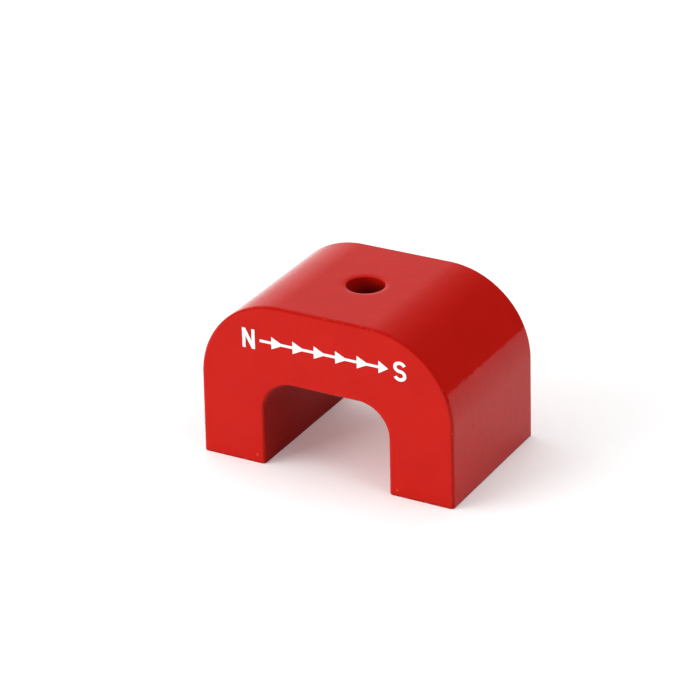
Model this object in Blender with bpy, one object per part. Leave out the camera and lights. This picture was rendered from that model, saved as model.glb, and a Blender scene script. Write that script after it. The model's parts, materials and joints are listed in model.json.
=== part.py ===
"""Horseshoe lifting magnet: a cast Alnico block in a red enamel coat, with a printed pole legend.

Metres, +Z up. X runs from pole to pole and Y through the magnet's thickness, with the legend
on the -Y side. The origin is the middle of the footprint, on the plane of the two pole faces.
"""

import math

import bmesh
import bpy

# Painted outer form.
WIDTH = 0.040
DEPTH = 0.025
HEIGHT = 0.025
POLE_WIDTH = 0.0101
CHANNEL_HEIGHT = 0.0133
SHOULDER_RADIUS = 0.0128
CHANNEL_RADIUS = 0.0048
# Casting draft: how much narrower each side is at the shoulder than at the foot.
DRAFT = 0.00013
EDGE_RADIUS = 0.0005

# Clearance hole for an M5 bolt, from the top face into the channel.
HOLE_RADIUS = 0.00275
# The paint runs over the hole's rims in a lip that is wider than it is deep.
LIP_WIDTH = 0.00045
LIP_DEPTH = 0.0002

# Enamel coat. It stops short of the pole faces, which are ground bare after painting.
COAT = 0.0002
BOND = 0.00005
COAT_FOOT = 0.0001

# Printed legend, centred on the bridge of the front face.
INK = 0.00004
INK_BOND = 0.00002
LEGEND_LENGTH = 0.0258
LEGEND_BASE = 0.0180
LETTER_HEIGHT = 0.0030
LETTER_STROKE = 0.0005
LETTER_GAP = 0.0008
N_WIDTH = 0.0020
N_DIAGONAL = 0.00115
S_WIDTH = 0.0020
S_START_DEG = 20
ARROW_COUNT = 6
ARROW_LENGTH = 0.0015
ARROW_HALF_HEIGHT = 0.00095
SHAFT_HALF_HEIGHT = 0.0002

# Facets.
SHOULDER_STEPS = 20
CHANNEL_STEPS = 12
EDGE_STEPS = 3
HOLE_STEPS = 48
LETTER_STEPS = 14

# How far a cutter runs past what it cuts.
PAST = 0.001


def clear_scene():
    for obj in list(bpy.data.objects):
        bpy.data.objects.remove(obj)


def material(name, colour, roughness, metallic):
    made = bpy.data.materials.new(name)
    made.use_nodes = True
    shader = made.node_tree.nodes["Principled BSDF"]
    shader.inputs["Base Color"].default_value = (*colour, 1.0)
    shader.inputs["Roughness"].default_value = roughness
    shader.inputs["Metallic"].default_value = metallic
    return made


def arc(centre_x, centre_z, radius, start_deg, end_deg, steps):
    """Points on an arc in the XZ plane, both ends included."""
    points = []
    for step in range(steps + 1):
        angle = math.radians(start_deg + (end_deg - start_deg) * step / steps)
        points.append((centre_x + radius * math.cos(angle), centre_z + radius * math.sin(angle)))
    return points


def mirrored(points):
    """The points on the other side of X = 0, in the opposite order."""
    return [(-x, z) for x, z in reversed(points)]


def horseshoe_outline(inset, foot):
    """The horseshoe in the XZ plane, this far inside the painted form, with its feet cut at z = foot."""
    springing = HEIGHT - SHOULDER_RADIUS
    outer_x = WIDTH / 2 - DRAFT * foot / springing
    shoulder_x = WIDTH / 2 - DRAFT - SHOULDER_RADIUS
    inner_x = WIDTH / 2 - POLE_WIDTH
    right_shoulder = arc(shoulder_x, springing, SHOULDER_RADIUS - inset, 0, 90, SHOULDER_STEPS)
    right_outer = [(outer_x - inset, foot), *right_shoulder]
    channel_arc = arc(
        inner_x - CHANNEL_RADIUS,
        CHANNEL_HEIGHT - CHANNEL_RADIUS,
        CHANNEL_RADIUS + inset,
        90,
        0,
        CHANNEL_STEPS,
    )
    right_inner = [*channel_arc, (inner_x + inset, foot)]
    return right_outer + mirrored(right_outer) + mirrored(right_inner) + right_inner


def edge_rounding(radius):
    """(distance in from the end face, extra inset) at each section of a rounded edge."""
    sections = []
    for step in range(EDGE_STEPS + 1):
        angle = math.radians(90 * step / EDGE_STEPS)
        sections.append((radius * (1 - math.cos(angle)), radius * (1 - math.sin(angle))))
    return sections


def loft(name, loops):
    """A closed solid through loops of points that match one to one, capped at both ends."""
    mesh = bpy.data.meshes.new(name)
    shape = bmesh.new()
    rings = [[shape.verts.new(point) for point in loop] for loop in loops]
    count = len(rings[0])
    for near, far in zip(rings, rings[1:]):
        for i in range(count):
            j = (i + 1) % count
            shape.faces.new((near[i], near[j], far[j], far[i]))
    shape.faces.new(list(reversed(rings[0])))
    shape.faces.new(rings[-1])
    bmesh.ops.recalc_face_normals(shape, faces=shape.faces)
    shape.to_mesh(mesh)
    shape.free()
    made = bpy.data.objects.new(name, mesh)
    bpy.context.scene.collection.objects.link(made)
    return made


def horseshoe_block(name, inset, foot):
    """The horseshoe as a solid, its front and back edges rounded."""
    half_depth = DEPTH / 2 - inset
    front = [(extra_in - half_depth, extra) for extra_in, extra in edge_rounding(EDGE_RADIUS - inset)]
    back = [(-y, extra) for y, extra in reversed(front)]
    loops = []
    for y, extra in front + back:
        loops.append([(x, y, z) for x, z in horseshoe_outline(inset + extra, foot)])
    return loft(name, loops)


def turned(name, profile):
    """A solid turned about the hole's axis from (radius, z) points that run from its top to its bottom."""
    loops = []
    for radius, z in reversed(profile):
        loops.append([(x, y, z) for x, y in arc(0, 0, radius, 0, 360, HOLE_STEPS)[:-1]])
    return helper(loft(name, loops))


def plain_hole_cutter(name, inset):
    """A round plug for the bolt hole, this much wider than the painted hole."""
    radius = HOLE_RADIUS + inset
    return turned(name, [(radius, HEIGHT + PAST), (radius, CHANNEL_HEIGHT - PAST)])


def lipped_hole_cutter(name):
    """The plug for the painted hole, flared where the paint's lips are rounded."""
    lip = []
    for step in range(EDGE_STEPS + 1):
        angle = math.radians(90 * step / EDGE_STEPS)
        lip.append((HOLE_RADIUS + LIP_WIDTH * (1 - math.sin(angle)), LIP_DEPTH * (1 - math.cos(angle))))
    top_lip = [(radius, HEIGHT - depth) for radius, depth in lip]
    roof_lip = [(radius, CHANNEL_HEIGHT + depth) for radius, depth in reversed(lip)]
    rim = HOLE_RADIUS + LIP_WIDTH
    return turned(name, [(rim, HEIGHT + PAST), *top_lip, *roof_lip, (rim, CHANNEL_HEIGHT - PAST)])


def helper(obj):
    """Marks a cutter, which isn't part of the magnet."""
    obj.hide_render = True
    obj.display_type = "WIRE"
    return obj


def cut(obj, cutter):
    modifier = obj.modifiers.new("cut_" + cutter.name, "BOOLEAN")
    modifier.operation = "DIFFERENCE"
    modifier.object = cutter


def shade(obj, finish):
    obj.data.materials.append(finish)
    obj.data.shade_smooth()
    obj.data.set_sharp_from_angle(angle=math.radians(35))


def build_casting(finish):
    """The magnet itself. Its feet are the two ground pole faces."""
    casting = horseshoe_block("alnico_casting", COAT + BOND, 0)
    cut(casting, plain_hole_cutter("casting_hole", COAT + BOND))
    shade(casting, finish)


def build_coat(finish):
    """The enamel, which covers the casting all over, hole and channel included, but for the pole faces."""
    void = helper(horseshoe_block("coat_void", COAT, -PAST))
    cut(void, plain_hole_cutter("coat_void_hole", COAT))
    coat = horseshoe_block("enamel_coat", 0, COAT_FOOT)
    cut(coat, void)
    cut(coat, lipped_hole_cutter("coat_hole"))
    shade(coat, finish)


def print_on_front(name, outline, finish):
    """A printed shape: its outline in X and Z, as a film of ink on the front face."""
    ink_back = -DEPTH / 2 - INK_BOND
    loops = [[(x, y, z) for x, z in outline] for y in (ink_back - INK, ink_back)]
    printed = loft(name, loops)
    printed.data.materials.append(finish)


def letter_n_outline(left):
    """N, from its left foot round its strokes."""
    right = left + N_WIDTH
    base = LEGEND_BASE
    top = base + LETTER_HEIGHT
    left_inner = left + LETTER_STROKE
    right_inner = right - LETTER_STROKE
    return [
        (left, base),
        (left_inner, base),
        (left_inner, top - N_DIAGONAL),
        (right_inner, base),
        (right, base),
        (right, top),
        (right_inner, top),
        (right_inner, base + N_DIAGONAL),
        (left_inner, top),
        (left, top),
    ]


def letter_s_outline(right):
    """S: two bowls joined in the middle, as a stroke of even width."""
    half_width = (S_WIDTH - LETTER_STROKE) / 2
    bowl = (LETTER_HEIGHT - LETTER_STROKE) / 4
    centre_x = right - S_WIDTH / 2
    middle = LEGEND_BASE + LETTER_HEIGHT / 2
    upper = arc(0, 1, 1, S_START_DEG, 270, LETTER_STEPS)
    lower = [(-x, -z) for x, z in reversed(upper[:-1])]
    line = [(centre_x + x * half_width, middle + z * bowl) for x, z in upper + lower]
    return stroke_outline(line, LETTER_STROKE / 2)


def stroke_outline(line, half_stroke):
    """Both sides of a stroke drawn along a line of points."""
    one_side = []
    other_side = []
    for i, (x, z) in enumerate(line):
        before = line[max(i - 1, 0)]
        after = line[min(i + 1, len(line) - 1)]
        run_x = after[0] - before[0]
        run_z = after[1] - before[1]
        scale = half_stroke / math.hypot(run_x, run_z)
        one_side.append((x - run_z * scale, z + run_x * scale))
        other_side.append((x + run_z * scale, z - run_x * scale))
    return one_side + list(reversed(other_side))


def flux_line_outline(left, right):
    """A field line from N to S: a thin shaft that carries evenly spaced arrowheads, the last at its end."""
    middle = LEGEND_BASE + LETTER_HEIGHT / 2
    pitch = (right - left) / ARROW_COUNT
    upper = [(left, SHAFT_HALF_HEIGHT)]
    for arrow in range(ARROW_COUNT):
        tip_x = left + (arrow + 1) * pitch
        base_x = tip_x - ARROW_LENGTH
        upper.append((base_x, SHAFT_HALF_HEIGHT))
        upper.append((base_x, ARROW_HALF_HEIGHT))
        upper.append((tip_x, SHAFT_HALF_HEIGHT))
    upper.pop()
    lower = [(x, -z) for x, z in reversed(upper)]
    return [(x, middle + z) for x, z in [*upper, (right, 0), *lower]]


def build_legend(finish):
    """The generic pole legend: N, a field line, S."""
    left = -LEGEND_LENGTH / 2
    right = LEGEND_LENGTH / 2
    print_on_front("printed_letter_n", letter_n_outline(left), finish)
    print_on_front("printed_letter_s", letter_s_outline(right), finish)
    line_left = left + N_WIDTH + LETTER_GAP
    line_right = right - S_WIDTH - LETTER_GAP
    print_on_front("printed_flux_line", flux_line_outline(line_left, line_right), finish)


def main():
    clear_scene()
    build_casting(material("alnico", (0.42, 0.41, 0.39), 0.35, 1.0))
    build_coat(material("enamel", (0.62, 0.02, 0.018), 0.25, 0.0))
    build_legend(material("ink", (0.85, 0.85, 0.83), 0.45, 0.0))


main()
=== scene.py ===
"""The looks of a horseshoe lifting magnet: red enamel, ground pole faces and a printed legend.

Everything is in metres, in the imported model's frame: X from pole to pole, -Y towards the printed
face, +Z up, and the floor at Z = 0 under the pole faces.
"""

import json
import math

import bmesh
import bpy
from mathutils import Matrix, Vector, noise


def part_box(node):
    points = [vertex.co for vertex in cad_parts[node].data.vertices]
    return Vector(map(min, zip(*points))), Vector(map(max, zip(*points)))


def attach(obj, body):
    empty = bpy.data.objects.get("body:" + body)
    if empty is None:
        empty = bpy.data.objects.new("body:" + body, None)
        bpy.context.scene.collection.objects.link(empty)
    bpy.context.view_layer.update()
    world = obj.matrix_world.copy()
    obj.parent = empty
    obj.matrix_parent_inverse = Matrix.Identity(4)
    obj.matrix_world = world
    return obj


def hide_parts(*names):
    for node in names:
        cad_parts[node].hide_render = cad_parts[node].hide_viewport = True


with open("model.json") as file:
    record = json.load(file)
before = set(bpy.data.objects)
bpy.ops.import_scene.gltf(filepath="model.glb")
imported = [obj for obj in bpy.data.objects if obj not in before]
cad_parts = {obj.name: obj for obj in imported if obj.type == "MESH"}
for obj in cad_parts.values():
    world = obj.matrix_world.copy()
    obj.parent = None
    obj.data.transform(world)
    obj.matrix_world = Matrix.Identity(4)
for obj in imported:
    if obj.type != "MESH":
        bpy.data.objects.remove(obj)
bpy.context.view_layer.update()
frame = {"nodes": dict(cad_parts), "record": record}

# Driving sizes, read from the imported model.
coat_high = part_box("enamel_coat")[1]
casting_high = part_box("alnico_casting")[1]
mount_points = {mount["name"]: mount["pos_m"] for mount in frame["record"]["mounts"]}
HALF_WIDTH = coat_high.x
HALF_DEPTH = coat_high.y
HEIGHT = coat_high.z
INNER_X = 2 * mount_points["pole_face_south"][0] - HALF_WIDTH
CHANNEL_HEIGHT = mount_points["channel_roof"][2]
CASTING_INSET = HALF_DEPTH - casting_high.y

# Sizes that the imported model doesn't state as numbers.
SHOULDER_RADIUS = 0.0128
CHANNEL_RADIUS = 0.0048
DRAFT = 0.00013
EDGE_RADIUS = 0.0005
HOLE_RADIUS = 0.00275
LIP_WIDTH = 0.0011
LIP_DEPTH = 0.0002
COAT = 0.0002
COAT_FOOT = 0.00004
FOOT_ROUNDING = 0.00012
POLE_ROUNDING = 0.00004

# Half the side of the square round the hole, which rings of faces fill.
PATCH = 0.0045
# Beside each rounded edge one row of faces is this narrow, so that the flat beside it shades flat.
GUARD = 0.00005
# Rows of faces round the edge of a foot.
FOOT_STEPS = 4

# Unevenness of the painted surface: (wavelength, depth). The shift keeps the waves from lining up.
WAVES = ((0.0085, 0.000030), (0.0027, 0.000007))
WAVE_SHIFT = Vector((17.3, 5.1, 9.7))

# Where painted shade darkens the thin paint over a rounded edge, by distance in from the front or back
# face.
CREST_START = (0.02 * EDGE_RADIUS, 0.2 * EDGE_RADIUS)
CREST_END = (0.25 * EDGE_RADIUS, 0.7 * EDGE_RADIUS)
# The same distance, where the channel's painted shade and its roof's brighter red start.
CHANNEL_START = (0.1 * EDGE_RADIUS, 0.8 * EDGE_RADIUS)
# Where along X the left leg's wall gives way to the channel's roof, and the roof to the right leg's wall.
LEFT_TURN = (-0.9 * INNER_X, 0.0)
RIGHT_TURN = (0.5 * INNER_X, INNER_X)

# How much painted shade darkens the paint, from 0 to 1, where the paint is also rougher: deep in the bolt
# hole, on the left leg's wall at the channel's mouth and in its middle, and on the right leg's wall.
HOLE_SHADE = 0.88
MOUTH_SHADE = 0.66
MIDDLE_SHADE = 0.55
RIGHT_SHADE = 0.3
# How far down the hole the painted shade takes to grow to full, on the hole's left and on its right.
HOLE_SHADE_LEFT = 0.0034
HOLE_SHADE_RIGHT = 0.0010

# Two specks in the paint, low on the front of each leg beside the channel: (place, colour).
ENAMEL_SPOTS = (
    ((-0.0112, -HALF_DEPTH, 0.0013), (0.62, 0.080, 0.085)),
    ((0.0112, -HALF_DEPTH, 0.0010), (0.80, 0.07, 0.015)),
)
SPOT_RADIUS = 0.00028

# The enamel's colours.
RED_DEEP = (0.498, 0.0080, 0.0045)
RED_BRIGHT = (0.536, 0.0095, 0.0056)
# Painted reflection streaks down the magnet's ends, standing in for the uneven gloss of the cast surface.
RED_REFLECTION_STREAK = (0.425, 0.0122, 0.0082)
# A brighter red painted on the channel's roof, so that it throws more red bounce light on the channel's
# floor.
RED_ROOF_BOUNCE = (0.76, 0.0085, 0.0050)
# Painted shade along the rounded edges and round the feet, where the paint is also thin.
RED_EDGE_SHADE = (0.36, 0.0056, 0.0032)
# Painted shade in the channel and the bolt hole.
RED_RECESS_SHADE = (0.14, 0.0016, 0.0012)
PALE_FLECK = (0.58, 0.055, 0.045)
RUBBED_FOOT = (0.25, 0.11, 0.10)

# The tent's brightness from left (0) to right (1), and how dim it is in front, from left to right.
TENT_LEVELS = ((0.0, 1.06), (0.22, 1.02), (0.35, 0.535), (0.47, 0.20), (0.60, 0.055), (1.0, 0.028))
FRONT_LEVELS = (0.31, 0.13)
FLOOR_HALF = 0.6
WHITE = (1.0, 1.0, 1.0, 1.0)

# Each lamp's name, azimuth and elevation in degrees, and power in watts.
SOFTBOXES = (
    ("key_softbox", -45, 20, 8.8),
    ("right_softbox", 90, 45, 3.9),
    ("top_softbox", -80, 75, 2.5),
    ("back_softbox", 180, 45, 1.6),
)


# ---------------------------------------------------------------- shapes


def spread(start, end, steps):
    """Evenly spaced values from start to end, both included."""
    return [start + (end - start) * step / steps for step in range(steps + 1)]


def guarded(start, end, steps):
    """Evenly spaced values from start to end, with one more beside each end."""
    toward_end = math.copysign(GUARD, end - start)
    inside = spread(start + toward_end, end - toward_end, steps)
    return [start, *inside, end]


class Station:
    """One place along the horseshoe: a point on its outer outline, one on its channel, and the ways out."""

    def __init__(self, outer, outer_normal, inner, inner_normal, extra=0.0):
        self.outer = Vector(outer)
        self.outer_normal = Vector(outer_normal)
        self.inner = Vector(inner)
        self.inner_normal = Vector(inner_normal)
        self.extra = extra

    def mirrored(self):
        """The same place on the left half."""
        flip = Vector((-1, 1))
        return Station(
            self.outer * flip,
            self.outer_normal * flip,
            self.inner * flip,
            self.inner_normal * flip,
            self.extra,
        )

    def point(self, inset, across, y):
        """The point this far inside the painted form, from the outer outline (0) to the channel (1)."""
        inset += self.extra
        outer = self.outer - self.outer_normal * inset
        inner = self.inner - self.inner_normal * inset
        x, z = outer.lerp(inner, across)
        return Vector((x, y, z))


def leg_stations(foot, rounding, steps):
    """Up the right leg from its foot. The first few stations round the foot's edge."""
    outer_top = HEIGHT - SHOULDER_RADIUS
    inner_top = CHANNEL_HEIGHT - CHANNEL_RADIUS
    stations = []

    def add(outer_z, inner_z, extra):
        outer_x = HALF_WIDTH - DRAFT * outer_z / outer_top
        stations.append(Station((outer_x, outer_z), (1, 0), (INNER_X, inner_z), (-1, 0), extra))

    if rounding:
        for angle in spread(0, math.pi / 2, FOOT_STEPS)[:-1]:
            z = foot + rounding * (1 - math.cos(angle))
            add(z, z, rounding * (1 - math.sin(angle)))
    start = foot + rounding
    for share in spread(0, 1, steps):
        add(start + (outer_top - start) * share, start + (inner_top - start) * share, 0.0)
    return stations


def shoulder_stations(steps):
    """Round the right shoulder, without the leg's last station."""
    outer_centre = Vector((HALF_WIDTH - DRAFT - SHOULDER_RADIUS, HEIGHT - SHOULDER_RADIUS))
    inner_centre = Vector((INNER_X - CHANNEL_RADIUS, CHANNEL_HEIGHT - CHANNEL_RADIUS))
    stations = []
    for angle in spread(0, math.pi / 2, steps)[1:]:
        way = Vector((math.cos(angle), math.sin(angle)))
        outer = outer_centre + way * SHOULDER_RADIUS
        inner = inner_centre + way * CHANNEL_RADIUS
        stations.append(Station(outer, way, inner, -way))
    return stations


def bridge_stations(steps, patch_steps):
    """Along the right half of the bridge to its middle, without the shoulder's last station."""
    outer_start = HALF_WIDTH - DRAFT - SHOULDER_RADIUS
    inner_start = INNER_X - CHANNEL_RADIUS
    stations = []
    for share in spread(0, 1, steps)[1:]:
        outer_x = outer_start + (PATCH - outer_start) * share
        inner_x = inner_start + (PATCH - inner_start) * share
        stations.append(Station((outer_x, HEIGHT), (0, 1), (inner_x, CHANNEL_HEIGHT), (0, -1)))
    for x in spread(PATCH, 0, patch_steps)[1:]:
        stations.append(Station((x, HEIGHT), (0, 1), (x, CHANNEL_HEIGHT), (0, -1)))
    return stations


def cross_section(inset, side_steps, patch_steps, face_steps, edge_steps):
    """The loop round one station, as (inset, share from outer outline to channel, y) for each point."""
    edge = EDGE_RADIUS - inset
    flat_y = HALF_DEPTH - EDGE_RADIUS
    end_y = HALF_DEPTH - inset
    side = guarded(-flat_y, -PATCH, side_steps)[:-2]
    side += spread(-PATCH, PATCH, patch_steps)
    side += [-y for y in reversed(side[: side_steps + 1])]
    corner = []
    for angle in spread(0, math.pi / 2, edge_steps)[1:-1]:
        corner.append((inset + edge * (1 - math.cos(angle)), flat_y + edge * math.sin(angle)))
    face = spread(0, 1, face_steps)
    guard_share = GUARD / (SHOULDER_RADIUS - CHANNEL_RADIUS)
    face = [0, guard_share, *face[1:-1], 1 - guard_share, 1]
    quarter = [(inset, 0, y) for y in side]
    quarter += [(into, 0, y) for into, y in corner]
    quarter += [(EDGE_RADIUS, share, end_y) for share in face]
    quarter += [(into, 1, y) for into, y in reversed(corner)]
    return quarter + [(into, 1 - share, -y) for into, share, y in quarter]


def between(shape, first, second):
    """A band of faces between two closed rings of vertices that match one to one."""
    count = len(first)
    for i in range(count):
        j = (i + 1) % count
        shape.faces.new((first[i], first[j], second[j], second[i]))


def ring_at(shape, angles, radius, z):
    """A round ring of vertices about the hole's axis."""
    return [shape.verts.new((radius * math.cos(a), radius * math.sin(a), z)) for a in angles]


def ring_towards(shape, start, angles, radius, share):
    """A ring part of the way from a square ring to a round one."""
    made = []
    for vert, angle in zip(start, angles):
        round_point = Vector((radius * math.cos(angle), radius * math.sin(angle), vert.co.z))
        made.append(shape.verts.new(vert.co.lerp(round_point, share)))
    return made


def hole_through(shape, top_rim, roof_rim, inset, lip_steps, wall_steps, patch_rings):
    """Fills both square gaps round the hole, rounds its lips and lines its wall."""

    def by_angle(vert):
        return math.atan2(vert.co.y, vert.co.x)

    top_rim = sorted(top_rim, key=by_angle)
    roof_rim = sorted(roof_rim, key=by_angle)
    angles = [by_angle(vert) for vert in top_rim]
    radius = HOLE_RADIUS + inset
    top = top_rim[0].co.z
    roof = roof_rim[0].co.z
    lip = [(radius, 0.0)]
    if not inset:
        lip = []
        for angle in spread(0, math.pi / 2, lip_steps):
            lip.append((radius + LIP_WIDTH * (1 - math.sin(angle)), LIP_DEPTH * (1 - math.cos(angle))))
    lip_start = lip[0][0]
    lip_depth = lip[-1][1]
    guard_share = 1 - GUARD / (PATCH - lip_start)
    shares = [*spread(0, 1, patch_rings)[1:-1], guard_share]
    rings = [top_rim]
    rings += [ring_towards(shape, top_rim, angles, lip_start, share) for share in shares]
    rings += [ring_at(shape, angles, out, top - down) for out, down in lip]
    for z in guarded(top - lip_depth, roof + lip_depth, wall_steps)[1:-1]:
        rings.append(ring_at(shape, angles, radius, z))
    rings += [ring_at(shape, angles, out, roof + down) for out, down in reversed(lip)]
    rings += [ring_towards(shape, roof_rim, angles, lip_start, share) for share in reversed(shares)]
    rings.append(roof_rim)
    for near, far in zip(rings, rings[1:]):
        between(shape, near, far)


def rim_of_gap(grid, first, last, start, end):
    """The vertices round the gap between two stations and two points of the loop."""
    rim = [grid[i][j] for i in (first, last) for j in range(start, end + 1)]
    rim += [grid[i][j] for i in range(first + 1, last) for j in (start, end)]
    return rim


def horseshoe_skin(shape, inset, foot, rounding, steps):
    """The horseshoe's surface this far inside the painted form. Returns the loops at its two open feet."""
    half = leg_stations(foot, rounding, steps["leg"])
    half += shoulder_stations(steps["shoulder"])
    before_patch = len(half) + steps["bridge"] - 1
    half += bridge_stations(steps["bridge"], steps["patch_x"])
    stations = half + [station.mirrored() for station in reversed(half[:-1])]
    last_patch = before_patch + 2 * steps["patch_x"]
    patch_y = steps["patch_y"]
    loop = cross_section(inset, steps["side"], patch_y, steps["face"], steps["edge"])
    grid = []
    for station in stations:
        grid.append([shape.verts.new(station.point(*section)) for section in loop])
    count = len(loop)
    outer_start = steps["side"] + 1
    inner_start = count // 2 + outer_start
    gap_rows = {*range(outer_start, outer_start + patch_y), *range(inner_start, inner_start + patch_y)}
    for i in range(len(stations) - 1):
        for j in range(count):
            if before_patch <= i < last_patch and j in gap_rows:
                continue
            k = (j + 1) % count
            shape.faces.new((grid[i][j], grid[i][k], grid[i + 1][k], grid[i + 1][j]))
    top_rim = rim_of_gap(grid, before_patch, last_patch, outer_start, outer_start + patch_y)
    roof_rim = rim_of_gap(grid, before_patch, last_patch, inner_start, inner_start + patch_y)
    hole_through(shape, top_rim, roof_rim, inset, steps["edge"], steps["wall"], steps["rings"])
    return grid[0], grid[-1]


def eased(value, start, end):
    """0 before start and 1 past end, with a smooth rise between."""
    share = min(max((value - start) / (end - start), 0.0), 1.0)
    return share * share * (3 - 2 * share)


def edge_share(point):
    """How near the crest of a rounded edge, or the foot, a point of the outer surface is, from 0 to 1.
    Painted shade over thin paint darkens it there, and wear flecks it.
    """
    from_face = HALF_DEPTH - abs(point.y)
    from_foot = point.z
    crest = eased(from_face, *CREST_START) * (1 - eased(from_face, *CREST_END))
    foot = 1 - eased(from_foot, FOOT_ROUNDING, 3 * FOOT_ROUNDING)
    return max(crest, foot)


def hole_share(point):
    """How much painted shade lies in the bolt hole, from 0 to 1."""
    if not CHANNEL_HEIGHT <= point.z <= HEIGHT:
        return 0.0
    if math.hypot(point.x, point.y) > HOLE_RADIUS + LIP_WIDTH:
        return 0.0
    towards_right = eased(point.x, -HOLE_RADIUS, HOLE_RADIUS)
    depth = HOLE_SHADE_LEFT + (HOLE_SHADE_RIGHT - HOLE_SHADE_LEFT) * towards_right
    return HOLE_SHADE * eased(HEIGHT - point.z, 0.0, depth)


def in_channel(point):
    """1 on the channel's walls and roof, falling to 0 round the edges of its two mouths."""
    if point.z > CHANNEL_HEIGHT + EDGE_RADIUS or abs(point.x) > INNER_X + EDGE_RADIUS:
        return 0.0
    return eased(HALF_DEPTH - abs(point.y), *CHANNEL_START)


def channel_share(point):
    """How much painted shade lies in the channel, from 0 to 1."""
    deep = eased(HALF_DEPTH - abs(point.y), EDGE_RADIUS, HALF_DEPTH)
    left_shade = MOUTH_SHADE + (MIDDLE_SHADE - MOUTH_SHADE) * deep
    on_left = 1 - eased(point.x, *LEFT_TURN)
    on_right = eased(point.x, *RIGHT_TURN)
    return max(left_shade * on_left, RIGHT_SHADE * on_right) * in_channel(point)


def recess_shade_share(point):
    """How much painted shade lies at a point of the channel or the bolt hole, from 0 to 1."""
    return max(hole_share(point), channel_share(point))


def roof_bounce_share(point):
    """How much brighter red is painted at a point to throw red bounce light, from 0 to 1: all of it on the
    channel's roof.
    """
    on_roof = eased(point.x, *LEFT_TURN) * (1 - eased(point.x, *RIGHT_TURN))
    return on_roof * in_channel(point)


SHARES = {"edge": edge_share, "recess_shade": recess_shade_share, "roof_bounce": roof_bounce_share}


def store_shares(shape):
    """Keeps each share at each vertex, where the enamel's material reads it."""
    for name, share in SHARES.items():
        layer = shape.verts.layers.float[name]
        for vert in shape.verts:
            vert[layer] = share(vert.co)


def sink_in_waves(shape):
    """Lowers the surface by up to the depth of each wave, and never raises it."""
    shape.normal_update()
    moves = []
    for vert in shape.verts:
        sunk = 0.0
        for number, (wavelength, depth) in enumerate(WAVES):
            place = vert.co / wavelength + WAVE_SHIFT * (number + 1)
            sunk += depth * min(max(0.5 + 0.5 * noise.noise(place), 0.0), 1.0)
        moves.append(-vert.normal * sunk)
    for vert, move in zip(shape.verts, moves):
        vert.co += move


def finished(name, shape, finish):
    """An object from the mesh, shaded smooth, that rides on the magnet's one body."""
    bmesh.ops.recalc_face_normals(shape, faces=shape.faces)
    mesh = bpy.data.meshes.new(name)
    shape.to_mesh(mesh)
    shape.free()
    mesh.shade_smooth()
    mesh.materials.append(finish)
    made = bpy.data.objects.new(name, mesh)
    bpy.context.scene.collection.objects.link(made)
    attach(made, "root")
    return made


def build_enamel(finish):
    """The coat of enamel: its wavy outer surface, and inside it the surface that lies on the casting."""
    fine = {
        "leg": 32,
        "shoulder": 54,
        "bridge": 6,
        "patch_x": 13,
        "patch_y": 26,
        "side": 20,
        "face": 22,
        "edge": 6,
        "wall": 24,
        "rings": 6,
    }
    plain = dict(fine, leg=6, shoulder=16, bridge=2, patch_x=6, wall=6, rings=3)
    shape = bmesh.new()
    for name in SHARES:
        shape.verts.layers.float.new(name)
    outer_feet = horseshoe_skin(shape, 0.0, COAT_FOOT, FOOT_ROUNDING, fine)
    store_shares(shape)
    sink_in_waves(shape)
    inner_feet = horseshoe_skin(shape, COAT, COAT_FOOT, 0.0, plain)
    for outer, inner in zip(outer_feet, inner_feet):
        between(shape, outer, inner)
    coat = finished("enamel_coat_fine", shape, finish)
    coat.data.set_sharp_from_angle(angle=math.radians(50))
    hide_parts("enamel_coat")


def build_casting(finish):
    """The casting inside the coat. Only its two ground pole faces show."""
    plain = {
        "leg": 8,
        "shoulder": 20,
        "bridge": 3,
        "patch_x": 8,
        "patch_y": 16,
        "side": 8,
        "face": 8,
        "edge": 4,
        "wall": 8,
        "rings": 4,
    }
    shape = bmesh.new()
    for foot in horseshoe_skin(shape, CASTING_INSET, 0.0, POLE_ROUNDING, plain):
        shape.faces.new(foot)
    casting = finished("alnico_casting_fine", shape, finish)
    casting.data.set_sharp_from_angle(angle=math.radians(30))
    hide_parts("alnico_casting")


# ---------------------------------------------------------------- materials


class Tree:
    """Shorthand for a node tree."""

    def __init__(self, tree):
        self.tree = tree

    def add(self, kind, **settings):
        """A new node with these properties."""
        made = self.tree.nodes.new(kind)
        for name, value in settings.items():
            setattr(made, name, value)
        return made

    def link(self, source, target):
        self.tree.links.new(source, target)

    def ranged(self, value, low, high, out_low=0.0, out_high=1.0, **settings):
        """The value taken from one range to another, and kept within it."""
        made = self.add("ShaderNodeMapRange", **settings)
        limits = {"From Min": low, "From Max": high, "To Min": out_low, "To Max": out_high}
        for name, limit in limits.items():
            made.inputs[name].default_value = limit
        self.link(value, made.inputs["Value"])
        return made.outputs["Result"]

    def axis(self, vector, name):
        """A vector's X, Y or Z."""
        split = self.add("ShaderNodeSeparateXYZ")
        self.link(vector, split.inputs["Vector"])
        return split.outputs[name]

    def mixed(self, share, first, second):
        """A colour between two, each of which is a colour or a socket."""
        made = self.add("ShaderNodeMix", data_type="RGBA")
        self.link(share, made.inputs["Factor"])
        for socket, value in ((made.inputs["A"], first), (made.inputs["B"], second)):
            if isinstance(value, tuple):
                socket.default_value = (*value, 1.0)
            else:
                self.link(value, socket)
        return made.outputs["Result"]


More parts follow.
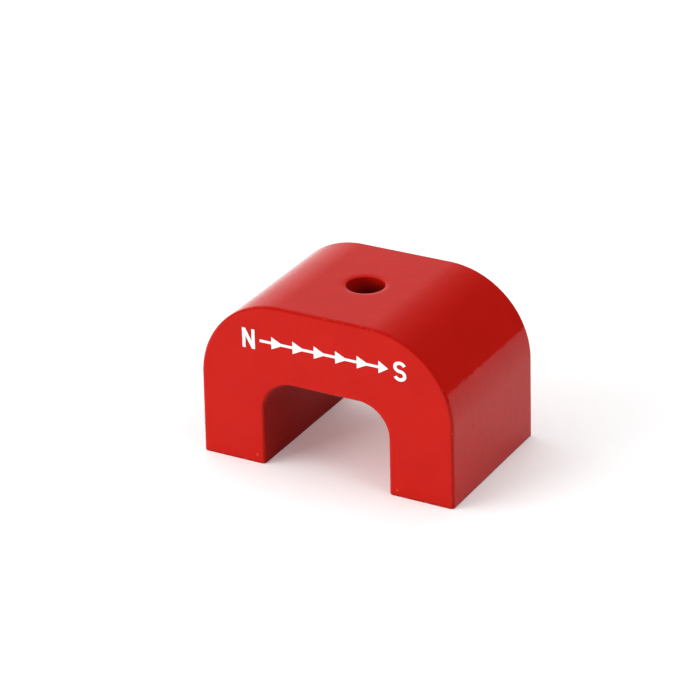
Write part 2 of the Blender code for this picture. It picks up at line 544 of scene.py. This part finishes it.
class Material(Tree):
    """Shorthand for a material's node tree, with what the materials here are made of."""

    def __init__(self, name):
        self.material = bpy.data.materials.new(name)
        self.material.use_nodes = True
        super().__init__(self.material.node_tree)
        self.shader = self.tree.nodes["Principled BSDF"]
        coordinates = self.add("ShaderNodeTexCoord")
        self.place = coordinates.outputs["Object"]
        self.normal = coordinates.outputs["Normal"]

    def scaled(self, scale):
        """The place on the object, multiplied along each axis."""
        mapping = self.add("ShaderNodeMapping")
        mapping.inputs["Scale"].default_value = scale
        self.link(self.place, mapping.inputs["Vector"])
        return mapping.outputs["Vector"]

    def noise(self, wavelength, detail=2.0, roughness=0.5, stretch=(1, 1, 1)):
        """Noise from 0 to 1 with features about this long in metres, longer along stretched axes."""
        made = self.add("ShaderNodeTexNoise")
        made.inputs["Scale"].default_value = 1.0
        made.inputs["Detail"].default_value = detail
        made.inputs["Roughness"].default_value = roughness
        scale = [1 / (wavelength * share) for share in stretch]
        self.link(self.scaled(scale), made.inputs["Vector"])
        return made.outputs["Fac"]

    def stored(self, name):
        """A value from 0 to 1 kept at each of the mesh's points."""
        made = self.add("ShaderNodeAttribute", attribute_name=name)
        return made.outputs["Fac"]

    def raised(self, value, share, top):
        """The value, taken towards top by share."""
        made = self.add("ShaderNodeMix")
        self.link(share, made.inputs["Factor"])
        self.link(value, made.inputs["A"])
        made.inputs["B"].default_value = top
        return made.outputs["Result"]

    def times(self, first, second):
        made = self.add("ShaderNodeMath", operation="MULTIPLY")
        self.link(first, made.inputs[0])
        self.link(second, made.inputs[1])
        return made.outputs["Value"]

    def ends(self, left, right):
        """A value on each of the magnet's end faces, falling to 0 a little way round its shoulder."""
        x = self.axis(self.place, "X")
        outward = self.times(self.axis(self.normal, "X"), x)
        either = self.ranged(x, -HALF_WIDTH, HALF_WIDTH, left, right)
        return self.times(self.ranged(outward, 0.86 * HALF_WIDTH, 0.96 * HALF_WIDTH), either)

    def low(self, full, none):
        """1 up to one height above the floor, falling to 0 at another."""
        return self.ranged(self.axis(self.place, "Z"), full, none, 1.0, 0.0)

    def near(self, place, radius):
        """1 at this place, falling to 0 at this distance from it."""
        made = self.add("ShaderNodeVectorMath", operation="DISTANCE")
        self.link(self.place, made.inputs[0])
        made.inputs[1].default_value = place
        return self.ranged(made.outputs["Value"], 0.0, radius, 1.0, 0.0)

    def nibs(self, spacing, radius):
        """Small round bumps about this far apart."""
        made = self.add("ShaderNodeTexVoronoi")
        made.inputs["Scale"].default_value = 1.0
        self.link(self.scaled([1 / spacing] * 3), made.inputs["Vector"])
        return self.ranged(made.outputs["Distance"], 0.0, radius / spacing, 1.0, 0.0)

    def bump(self, height, distance, under=None):
        """A normal that tilts with this height, on top of the bump under it."""
        made = self.add("ShaderNodeBump")
        made.inputs["Strength"].default_value = 1.0
        made.inputs["Distance"].default_value = distance
        self.link(height, made.inputs["Height"])
        if under is not None:
            self.link(under, made.inputs["Normal"])
        return made.outputs["Normal"]

    def set(self, **values):
        """Puts constants on the shader's own sockets."""
        for name, value in values.items():
            self.shader.inputs[name.replace("_", " ")].default_value = value

    def feed(self, name, source):
        """Links a socket to one of the shader's."""
        self.link(source, self.shader.inputs[name])


def enamel_colour(made, recess_shade):
    """Red, with painted reflection streaks on the ends, painted shade on thin edges, a roof painted
    brighter for bounce light, and painted shade in recesses.
    """
    tone = made.ranged(made.noise(0.005, detail=4.0, roughness=0.6), 0.3, 0.7)
    colour = made.mixed(tone, RED_DEEP, RED_BRIGHT)
    # Painted reflection streaks down the ends, weaker on the left end.
    reflection_streaks = made.noise(0.00050, detail=3.0, roughness=0.65, stretch=(1, 1, 3.2))
    on_ends = made.times(made.ends(left=0.4, right=1.0), made.ranged(reflection_streaks, 0.38, 0.64))
    colour = made.mixed(on_ends, colour, RED_REFLECTION_STREAK)
    # A brighter red painted on the channel's roof, for more red bounce light on the floor.
    colour = made.mixed(made.stored("roof_bounce"), colour, RED_ROOF_BOUNCE)
    uneven = made.ranged(made.noise(0.0015, detail=3.0), 0.3, 0.7, 0.6, 1.0)
    # Painted shade over thin paint along the edge crests and round the feet.
    colour = made.mixed(made.times(made.stored("edge"), uneven), colour, RED_EDGE_SHADE)
    # Painted shade in the channel and the bolt hole.
    return made.mixed(recess_shade, colour, RED_RECESS_SHADE)


def worn_colour(made, colour):
    """The colour with pale flecks along the edges, rubbed spots at the feet and the two specks."""
    flecks = made.ranged(made.noise(0.0005, detail=2.0), 0.66, 0.70)
    colour = made.mixed(made.times(made.stored("edge"), flecks), colour, PALE_FLECK)
    rubbed = made.ranged(made.noise(0.0008, detail=4.0), 0.57, 0.66)
    colour = made.mixed(made.times(made.low(0.00010, 0.00040), rubbed), colour, RUBBED_FOOT)
    for spot, spot_colour in ENAMEL_SPOTS:
        colour = made.mixed(made.near(spot, SPOT_RADIUS), colour, spot_colour)
    return colour


def enamel_finish():
    """Glossy stoved red enamel: worn and painted with shade along its edges, with rougher paint and painted
    shade in the channel and the hole.
    """
    made = Material("red_enamel")
    made.set(Metallic=0.0, IOR=1.20, Specular_Tint=(1.0, 0.95, 0.86, 1.0))
    recess_shade = made.stored("recess_shade")
    made.feed("Base Color", worn_colour(made, enamel_colour(made, recess_shade)))
    haze = made.noise(0.002, detail=4.0, roughness=0.6)
    glossy = made.ranged(haze, 0.3, 0.7, 0.04, 0.09)
    made.feed("Roughness", made.raised(glossy, recess_shade, 0.9))
    runs = made.bump(made.noise(0.0009, detail=2.0, stretch=(1, 1, 4)), 0.000030)
    peel = made.bump(made.noise(0.0009, detail=1.0), 0.000009, runs)
    dust = made.bump(made.nibs(0.0030, 0.00009), 0.000015, peel)
    made.feed("Normal", dust)
    return made.material


def alnico_finish():
    """Cast alloy ground flat: fine parallel lines, a few pores and a slightly warm grey."""
    made = Material("ground_alnico")
    made.set(Metallic=1.0, IOR=1.45)
    lines = made.noise(0.00012, detail=3.0, roughness=0.7, stretch=(1, 60, 1))
    patches = made.noise(0.004, detail=3.0)
    bright = made.mixed(made.ranged(lines, 0.3, 0.7), (0.43, 0.42, 0.40), (0.60, 0.59, 0.57))
    pores = made.noise(0.0005, detail=2.0)
    colour = made.mixed(made.ranged(pores, 0.70, 0.76), bright, (0.10, 0.09, 0.08))
    made.feed("Base Color", colour)
    made.feed("Roughness", made.ranged(patches, 0.3, 0.7, 0.24, 0.38))
    normal = made.bump(lines, 0.000004)
    made.feed("Normal", made.bump(made.ranged(pores, 0.70, 0.76, 1.0, 0.0), 0.00003, normal))
    return made.material


def ink_finish():
    """White printing ink: nearly even, with the red just showing through where it lies thin."""
    made = Material("white_ink")
    made.set(Metallic=0.0, IOR=1.4)
    thin = made.noise(0.0003, detail=3.0, roughness=0.6)
    colour = made.mixed(made.ranged(thin, 0.62, 0.78), (0.92, 0.90, 0.89), (0.86, 0.62, 0.60))
    made.feed("Base Color", colour)
    made.feed("Roughness", made.ranged(thin, 0.3, 0.7, 0.35, 0.5))
    made.feed("Normal", made.bump(thin, 0.000004))
    return made.material


def floor_finish():
    """Matt white paper, lit from below its surface a little, as a white sweep in a light tent looks."""
    made = Material("white_paper")
    made.set(Metallic=0.0, Roughness=0.9, Specular_IOR_Level=0.0, Emission_Strength=0.177)
    made.set(Emission_Color=WHITE)
    grain = made.noise(0.0012, detail=3.0)
    made.feed("Base Color", made.mixed(grain, (0.91, 0.91, 0.91), (0.93, 0.93, 0.93)))
    return made.material


# ---------------------------------------------------------------- studio


def way_out(azimuth_deg, elevation_deg):
    """The direction out from the magnet: azimuth 0 is the printed front's, and 90 the right end's."""
    azimuth = math.radians(azimuth_deg)
    elevation = math.radians(elevation_deg)
    return Vector(
        (
            math.sin(azimuth) * math.cos(elevation),
            -math.cos(azimuth) * math.cos(elevation),
            math.sin(elevation),
        )
    )


def build_camera():
    """The photographer's view: from the front right, looking down on the magnet with a long lens."""
    back = way_out(29.094, 25.903)
    roll = math.radians(-1.246)
    target = Vector((-0.00275, 0.0, 0.01415))
    distance = 0.4356
    right = Vector((0, 0, 1)).cross(back).normalized()
    up = back.cross(right)
    turned = Matrix((right, up, back)).transposed() @ Matrix.Rotation(roll, 3, "Z")
    data = bpy.data.cameras.new("camera")
    data.lens = 157.84
    data.sensor_width = 36.0
    data.clip_start = 0.01
    data.clip_end = 50.0
    camera = bpy.data.objects.new("camera", data)
    camera.matrix_world = Matrix.Translation(target + back * distance) @ turned.to_4x4()
    bpy.context.scene.collection.objects.link(camera)
    bpy.context.scene.camera = camera


def build_floor():
    """A plain square of white paper, with the magnet in its middle."""
    mesh = bpy.data.meshes.new("floor")
    half = FLOOR_HALF
    corners = [(-half, -half, 0), (half, -half, 0), (half, half, 0), (-half, half, 0)]
    mesh.from_pydata(corners, [], [(0, 1, 2, 3)])
    mesh.materials.append(floor_finish())
    floor = bpy.data.objects.new("floor", mesh)
    bpy.context.scene.collection.objects.link(floor)


def build_world():
    """A light tent: white on the left, dim on the right and in front. The backdrop itself is white."""
    world = bpy.data.worlds.new("studio")
    world.use_nodes = True
    world.node_tree.nodes.clear()
    made = Tree(world.node_tree)
    way = made.add("ShaderNodeTexCoord").outputs["Generated"]
    sideways = made.axis(way, "X")
    ramp = made.add("ShaderNodeValToRGB")
    ramp.color_ramp.interpolation = "B_SPLINE"
    stops = ramp.color_ramp.elements
    while len(stops) < len(TENT_LEVELS):
        stops.new(0.5)
    for stop, (position, level) in zip(stops, TENT_LEVELS):
        stop.position = position
        stop.color = (level, level, level, 1.0)
    made.link(made.ranged(sideways, -1.0, 1.0), ramp.inputs["Fac"])
    front = made.ranged(sideways, -1.0, 1.0, *FRONT_LEVELS)
    towards_front = made.ranged(made.axis(way, "Y"), 0.0, -0.5, interpolation_type="SMOOTHSTEP")
    tent = made.add("ShaderNodeBackground")
    made.link(made.mixed(towards_front, ramp.outputs["Color"], front), tent.inputs["Color"])
    backdrop = made.add("ShaderNodeBackground")
    backdrop.inputs["Color"].default_value = WHITE
    either = made.add("ShaderNodeMixShader")
    made.link(made.add("ShaderNodeLightPath").outputs["Is Camera Ray"], either.inputs["Fac"])
    made.link(tent.outputs["Background"], either.inputs[1])
    made.link(backdrop.outputs["Background"], either.inputs[2])
    made.link(either.outputs["Shader"], made.add("ShaderNodeOutputWorld").inputs["Surface"])
    bpy.context.scene.world = world


def build_softbox(name, azimuth_deg, elevation_deg, power, distance=1.0, size=0.8):
    """A square lamp that faces the magnet, and that the magnet doesn't reflect."""
    way = way_out(azimuth_deg, elevation_deg)
    data = bpy.data.lights.new(name, "AREA")
    data.size = size
    data.energy = power
    lamp = bpy.data.objects.new(name, data)
    lamp.location = way * distance
    lamp.rotation_euler = way.to_track_quat("Z", "Y").to_euler()
    lamp.visible_glossy = False
    bpy.context.scene.collection.objects.link(lamp)


def set_finish(node_name, finish):
    """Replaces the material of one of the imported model's own nodes."""
    mesh = frame["nodes"][node_name].data
    mesh.materials.clear()
    mesh.materials.append(finish)


build_camera()
build_enamel(enamel_finish())
build_casting(alnico_finish())
ink = ink_finish()
for printed in ("printed_letter_n", "printed_letter_s", "printed_flux_line"):
    set_finish(printed, ink)
build_floor()
build_world()
for softbox in SOFTBOXES:
    build_softbox(*softbox)
bpy.context.scene.view_settings.view_transform = "Standard"
